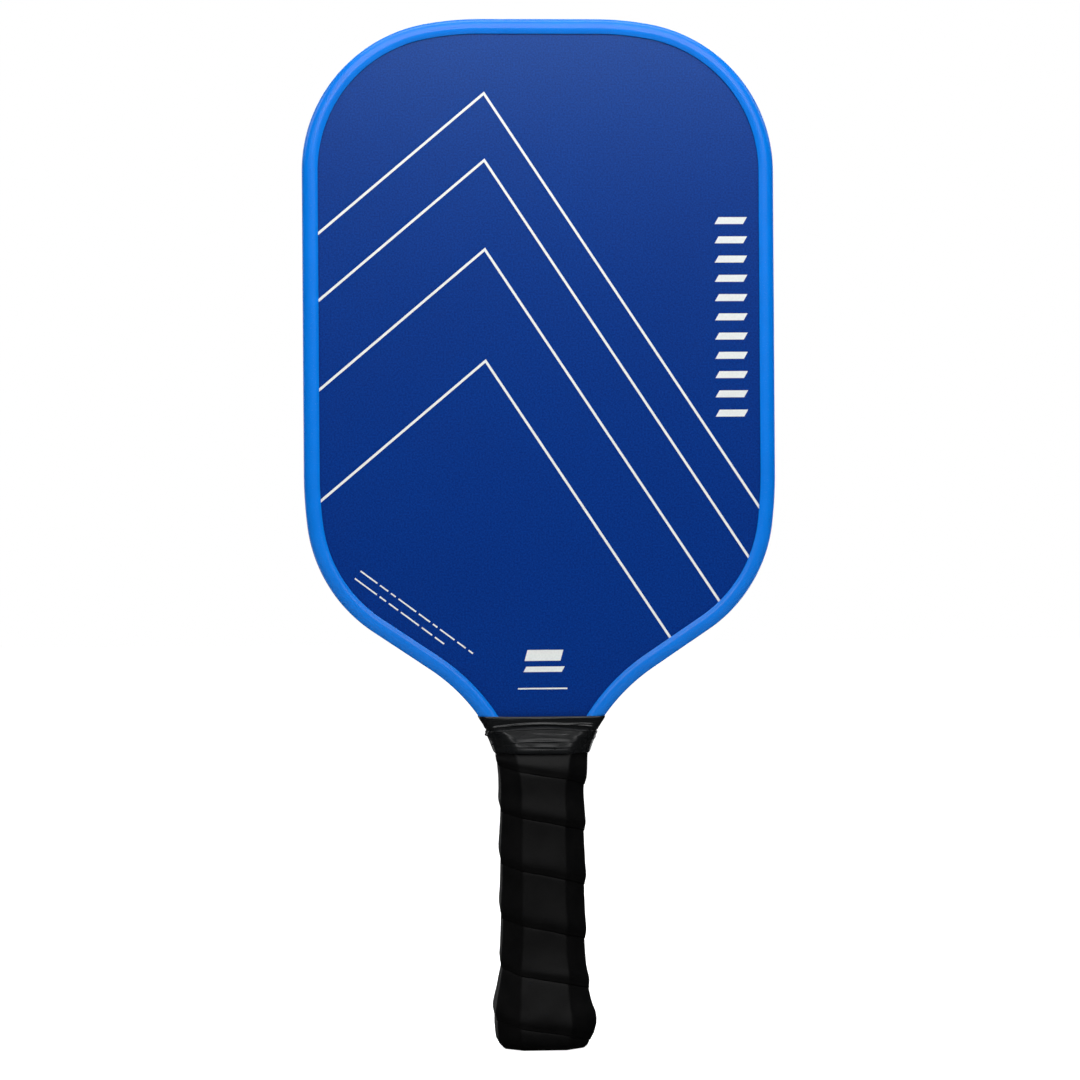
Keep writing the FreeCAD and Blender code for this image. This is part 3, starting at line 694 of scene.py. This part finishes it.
# The strip bunches out at the narrow sides of the butt, and thins to nothing at its lower rim.
BUNCH, BUNCH_HEIGHT, BUNCH_REACH = 1.5, 13.0, 5.5
RIM_FADE = 2.0


def turn_height(turns):
    """Height of the strip's edge after a number of turns."""
    k = min(max(int(turns // 1), 0), len(TURN_EDGES) - 2)
    return TURN_EDGES[k] + (TURN_EDGES[k + 1] - TURN_EDGES[k]) * (turns - k)


def turns_at(height):
    """The inverse of turn_height."""
    for k, (low, high) in enumerate(zip(TURN_EDGES, TURN_EDGES[1:])):
        if height <= high:
            return k + (height - low) / (high - low)
    return len(TURN_EDGES) - 1.0


def softness(x, y, z):
    """How far the cushion's own smooth noise moves its surface here."""
    broad = DENT + BUTT_DENT * hump(z, 10.0, 18.0)
    fine = FINE_DENT * noise.noise(Vector((x, y, z)) * 0.3)
    return broad * noise.noise(Vector((x, y, z * 0.8)) * 0.11) + fine


def pressing(phase):
    """How much painted shade the strip gets over the turn below, from 1 at its edge to 0 past the
    lap.
    """
    return 1.0 - min(max((phase - LAP_FULL) / (LAP_END - LAP_FULL), 0.0), 1.0)


def grip_point(column, fraction, turns):
    """A point of the wrap's outer surface in one column, and how much painted shade it gets there.
    """
    low, high = GRIP_TABLE[0][0], GRIP_TABLE[-1][0]
    round_x, round_y = 1.7 * cos(2 * pi * fraction), 1.7 * sin(2 * pi * fraction)
    wander = WANDER * noise.noise(Vector((round_x, round_y, turns)))
    height = turn_height(turns - fraction) + wander
    phase = turns % 1.0
    if not low < height < high:
        height = min(max(height, low), high)
        phase = (turns_at(height) + fraction) % 1.0
    half_x, half_y, bevel, rounding = blend_table(GRIP_TABLE, height)
    base = section(half_x, half_y, bevel, rounding)[column]
    push = (base - Vector((0.55 * base.x, 0.4 * base.y))).normalized()
    fade = min(1.0, (height - low) / RIM_FADE)
    side = max(0.0, base.x / half_x) ** 2
    bunch = BUNCH * hump(height, BUNCH_HEIGHT, BUNCH_REACH) * side
    squeeze = min(1.0, max(0.0, (TAPED_FROM + TAPED_OVER - height) / TAPED_OVER))
    rise = blend_table(STRIP_RISE, phase)[0] * squeeze
    place = base + push * ((rise + softness(base.x, base.y, height)) * fade + bunch)
    # The band's painted shade fades at the butt and just under the collar.
    shown = 1 - 0.9 * hump(height, 0.0, 14.0) - 0.7 * hump(height, 115.0, 8.0)
    return (place.x, place.y, height), pressing(phase) * shown


def build_grip(material):
    """One spiral strip in overlapping turns, as a closed sleeve with a plain inside."""
    nominal = section(*blend_table(GRIP_TABLE, STRAIGHT_HEIGHT))
    parts_round = fractions(nominal)
    columns = len(nominal)
    phases = [phase for phase, rise in STRIP_RISE[:-1]]
    rows = [turn + phase for turn in range(len(TURN_EDGES) - 1) for phase in phases]
    surface = [grip_point(c, parts_round[c], turns) for turns in rows for c in range(columns)]
    points = [point for point, value in surface]
    seam = min(range(columns), key=lambda c: parts_round[c])
    faces = []
    for row in range(len(rows) - 1):
        for c in range(columns):
            nxt = (c + 1) % columns
            shift = len(phases) if nxt == seam else 0
            if row - shift < 0:
                continue
            upper, lower = (row + 1) * columns, row * columns
            back = shift * columns
            faces.append([lower + c, lower + nxt - back, upper + nxt - back, upper + c])
    inside = section(*GRIP_INSIDE)
    ends = []
    for height, row in ((GRIP_TABLE[0][0], 0), (GRIP_TABLE[-1][0], len(rows) - 1)):
        ends.append((row * columns, len(points)))
        points += [(spot.x, spot.y, height) for spot in inside]
    (low_outer, low_inner), (high_outer, high_inner) = ends
    for c in range(columns):
        nxt = (c + 1) % columns
        faces.append([low_outer + nxt, low_outer + c, low_inner + c, low_inner + nxt])
        faces.append([high_outer + c, high_outer + nxt, high_inner + nxt, high_inner + c])
        faces.append([low_inner + nxt, low_inner + c, high_inner + c, high_inner + nxt])
    # The painted shade of each point, zero on the inside and the ends.
    pressed = [value for point, value in surface]
    pressed += [0.0] * (len(points) - len(pressed))
    make_piece("grip_spiral", points, faces, "grip", material, ["grip_wrap"], 65, pressed)


# ---------------------------------------------------------------- throat

# Height, half width, half thickness, bevel and corner rounding of each sleeve.
TAPE_TABLE = [
    (119.9, 18.9, 12.9, 7.8, 2.0),
    (123.0, 19.8, 12.3, 6.6, 3.0),
    (127.0, 21.2, 10.7, 4.4, 4.0),
    (129.0, 22.4, 10.1, 3.0, 3.8),
    (130.5, 23.4, 10.0, 2.5, 3.4),
    (134.4, 25.9, 10.0, 1.9, 2.6),
]
COLLAR_TABLE = [
    (119.4, 19.3, 14.1, 8.7, 4.0),
    (121.0, 19.9, 13.9, 8.3, 6.0),
    (123.0, 20.6, 13.5, 7.9, 8.0),
    (126.0, 21.7, 12.3, 6.2, 8.0),
    (128.0, 22.3, 11.5, 4.7, 7.0),
    (129.3, 22.6, 11.0, 3.8, 5.5),
]
# Stretch folds: middle height, rise, how far round they reach, their centre as a part of a turn
# from the front, how far their ends drop, and how long their upper flank is.
TAPE_FOLDS = [
    (131.2, 0.40, 0.26, 0.0, 7.0, 0.5),
    (132.9, 0.10, 0.06, -0.12, 0.5, 0.4),
    (131.2, 0.24, 0.07, 0.12, 1.4, 0.35),
    (131.6, 0.40, 0.24, 0.5, 6.0, 0.5),
    (133.1, 0.15, 0.06, 0.33, 0.4, 0.4),
]
COLLAR_FOLDS = [
    (124.2, 0.50, 0.075, 0.0, 0.2, 0.7),
    (122.0, 0.42, 0.07, 0.01, -0.2, 0.7),
    (127.0, 0.10, 0.07, 0.03, -1.0, 0.8),
    (128.6, 0.30, 0.30, 0.0, 0.0, 0.42),
    (127.3, 0.90, 0.05, -0.25, 0.0, 1.1),
    (128.0, 0.50, 0.03, 0.26, 0.0, 0.7),
    (125.9, 0.30, 0.04, 0.24, 0.6, 0.7),
    (123.4, 0.18, 0.05, -0.2, 0.8, 0.7),
    (128.6, 0.30, 0.20, 0.5, 0.0, 0.42),
    (125.1, 0.30, 0.11, 0.52, 0.5, 0.7),
    (122.6, 0.26, 0.09, 0.47, -0.3, 0.7),
    (127.2, 0.20, 0.05, 0.4, 0.8, 0.7),
]
# A fold's lower flank, as a part of its upper one.
FOLD_UNDER = 0.33
TAPE_WALL, COLLAR_WALL = 0.55, 0.65
# How far the collar's upper rim rises in the middle of each face.
COLLAR_ARCH = 1.0
# Height of a row of points on a sleeve.
SLEEVE_ROW = 0.15
# How far a rim is tucked in, and over what height.
RIM_TUCK, RIM_REACH = 0.45, 0.35


def fold_height(folds, fraction, height):
    """How far the folds push out here: each is steep underneath and eases off above."""
    total = 0.0
    for middle, rise, reach, centre, drop, flank in folds:
        away = (fraction - centre + 0.5) % 1.0 - 0.5
        drift = 0.25 * noise.noise(Vector((fraction * 9.0, middle, 0.3)))
        above = height - middle - (drift - drop * (away / reach) ** 2 * 0.5)
        reached = flank if above > 0 else flank * FOLD_UNDER
        total += rise * hump(above, 0.0, reached) * hump(away, 0.0, reach)
    return total


def build_sleeve(name, table, folds, wall, arch, slot, material, replaced):
    """A stretched ring: folded outside, plain inside, soft at its rims and arched at its top."""
    low, high = table[0][0], table[-1][0]
    count = round((high - low) / SLEEVE_ROW)
    loops = []
    for row in range(count + 1):
        height = low + (high - low) * row / count
        rim = min(row, count - row) * SLEEVE_ROW
        tuck = -RIM_TUCK * exp(-rim / RIM_REACH)
        loop = section(*blend_table(table, height), SLEEVE_STEPS)
        ring = []
        for spot, fraction in zip(loop, fractions(loop)):
            push = (spot - Vector((0.55 * spot.x, 0.3 * spot.y))).normalized()
            waver = 0.05 * noise.noise(Vector((spot.x * 0.2, spot.y * 0.2, height * 0.7)))
            place = spot + push * (tuck + waver + fold_height(folds, fraction, height))
            ripple = 0.15 * noise.noise(Vector((fraction * 7.0, high, 1.7)))
            lift = (arch * cos(4 * pi * fraction) + ripple) * (row / count) ** 2
            ring.append((place.x, place.y, height + lift))
        loops.append(ring)
    for height, half_x, half_y, bevel, rounding in reversed(table):
        loop = section(half_x - wall, half_y - wall, bevel, rounding, SLEEVE_STEPS)
        loops.append([(spot.x, spot.y, height) for spot in loop])
    points = [point for ring in loops for point in ring]
    faces = ring_faces(len(loops), len(loops[0]), closed=True)
    make_piece(name, points, faces, slot, material, replaced, sharp=60)


# ---------------------------------------------------------------- stage

# Camera and lamps are in metres and degrees, in the CAD frame.
CAMERA_DISTANCE = 1.55
CAMERA_AZIMUTH = 3.5
CAMERA_ROLL = -0.39
AIM_HEIGHT = 0.2056
FOCAL_PER_METRE = 82.1
SENSOR = 36.0
# Lamps: name, place, target, size, and power in watts.
LAMPS = [
    ("overhead_softbox", (0.0, -0.36, 0.71), (0, 0, 0.25), (0.8, 0.3), 2.8),
    ("head_softbox", (0.0, -1.7, 0.88), (0, 0, 0.40), (1.6, 0.3), 10.5),
    ("left_softbox", (-1.05, -1.20, 0.74), (0, 0, 0.34), (0.35, 0.5), 0.7),
    ("right_softbox", (0.85, -1.35, 0.74), (0, 0, 0.34), (0.35, 0.5), 1.0),
    ("high_left_softbox", (-1.2, 0.3, 0.95), (0, 0, 0.36), (0.5, 0.6), 2.4),
    ("high_right_softbox", (1.2, 0.3, 1.00), (0, 0, 0.36), (0.5, 0.5), 1.6),
    ("top_strip", (0.0, 0.05, 0.95), (0, 0, 0.41), (0.9, 0.14), 1.5),
    ("left_rim_strip", (-0.6, 0.80, 0.25), (0, 0, 0.20), (0.25, 0.9), 0.9),
    ("right_rim_strip", (0.6, 0.80, 0.25), (0, 0, 0.20), (0.25, 0.9), 1.8),
    ("back_softbox", (0.0, 1.30, 0.95), (0, 0, 0.25), (1.2, 0.5), 6.0),
]
SUN_STRENGTH, SUN_SPREAD = 0.5, 60
# How bright the camera sees the backdrop and the floor, and the fill that the object gets.
BACKDROP, FLOOR_GLOW, FILL = 1.0, 0.96, 0.015
FLOOR_HALF = 6.0
FLOOR_GAP = 0.1 * MM


def build_camera():
    """A long lens, square to the face but for a small turn."""
    camera = bpy.data.cameras.new("camera")
    camera.lens = FOCAL_PER_METRE * CAMERA_DISTANCE
    camera.sensor_width = SENSOR
    camera.clip_end = 30.0
    camera.dof.use_dof = False
    holder = bpy.data.objects.new("camera", camera)
    azimuth = radians(CAMERA_AZIMUTH)
    place = Vector((-sin(azimuth), -cos(azimuth), 0)) * CAMERA_DISTANCE
    place.z = AIM_HEIGHT
    turn = Matrix.Rotation(-azimuth, 4, "Z") @ Matrix.Rotation(radians(90), 4, "X")
    roll = Matrix.Rotation(radians(CAMERA_ROLL), 4, "Z")
    holder.matrix_world = Matrix.Translation(place) @ turn @ roll
    bpy.context.scene.collection.objects.link(holder)
    bpy.context.scene.camera = holder


def area_light(name, place, target, size, power):
    """A soft rectangular lamp that points at a target."""
    light = bpy.data.lights.new(name, "AREA")
    light.shape = "RECTANGLE"
    light.size, light.size_y = size
    light.energy = power
    holder = bpy.data.objects.new(name, light)
    holder.location = place
    holder.rotation_euler = (Vector(target) - Vector(place)).to_track_quat("-Z", "Y").to_euler()
    bpy.context.scene.collection.objects.link(holder)


def build_lights():
    """The lamps, and a soft ceiling over them."""
    for lamp in LAMPS:
        area_light(*lamp)
    sun = bpy.data.lights.new("ceiling", "SUN")
    sun.energy = SUN_STRENGTH
    sun.angle = radians(SUN_SPREAD)
    bpy.context.scene.collection.objects.link(bpy.data.objects.new("ceiling", sun))


def split_by_camera(tree, seen, unseen, target, entry):
    """Gives a shader input one number for camera rays and another for all other rays."""
    rays = add_node(tree, "ShaderNodeLightPath")
    mapped = value_range(tree, rays, "Is Camera Ray", unseen, seen)
    link(tree, mapped, "Result", target, entry)


def build_world():
    """White where the camera looks past the floor, and a dim fill for the object."""
    world = bpy.data.worlds.new("studio")
    world.use_nodes = True
    tree = world.node_tree
    backdrop = tree.nodes["Background"]
    backdrop.inputs["Color"].default_value = (1, 1, 1, 1)
    split_by_camera(tree, BACKDROP, FILL, backdrop, "Strength")
    bpy.context.scene.world = world


def build_floor():
    """A plain pale floor under the butt."""
    material, tree, shader, coords = new_material(
        "pale_floor", Roughness=0.9, Specular_IOR_Level=0.1
    )
    shader.inputs["Emission Color"].default_value = (1, 1, 1, 1)
    split_by_camera(tree, FLOOR_GLOW, 0.0, shader, "Emission Strength")
    grain = noise_node(tree, coords, 30, 3.0)
    paint(tree, shader, grain, (0.80, 0.80, 0.80), (0.83, 0.83, 0.83))
    mesh = bpy.data.meshes.new("floor")
    spots = ((-1, -1), (1, -1), (1, 1), (-1, 1))
    corners = [(x * FLOOR_HALF, y * FLOOR_HALF, -FLOOR_GAP) for x, y in spots]
    mesh.from_pydata(corners, [], [(0, 1, 2, 3)])
    mesh.materials.append(material)
    floor = bpy.data.objects.new("floor", mesh)
    floor.visible_glossy = False
    bpy.context.scene.collection.objects.link(floor)


def main():
    """Builds every piece and the stage."""
    laminate, ink = laminate_material(), ink_material()
    dress_cad_nodes(laminate)
    build_guard(guard_material())
    print_face("front_print", fold_lines() + side_bars() + small_marks(), -1, ink)
    print_face("back_print", fold_lines(), 1, ink)
    build_grip(grip_material())
    build_sleeve(
        "finishing_tape_wrap", TAPE_TABLE, TAPE_FOLDS, TAPE_WALL, 0.0, "throat_tape",
        vinyl_material("throat_tape", 0.19, 0.30), ["finishing_tape"],
    )
    build_sleeve(
        "throat_collar_band", COLLAR_TABLE, COLLAR_FOLDS, COLLAR_WALL, COLLAR_ARCH, "collar",
        vinyl_material("collar_rubber", 0.26, 0.2), ["throat_collar"],
    )
    build_camera()
    build_lights()
    build_world()
    build_floor()
    bpy.context.scene.view_settings.view_transform = "Standard"


main()
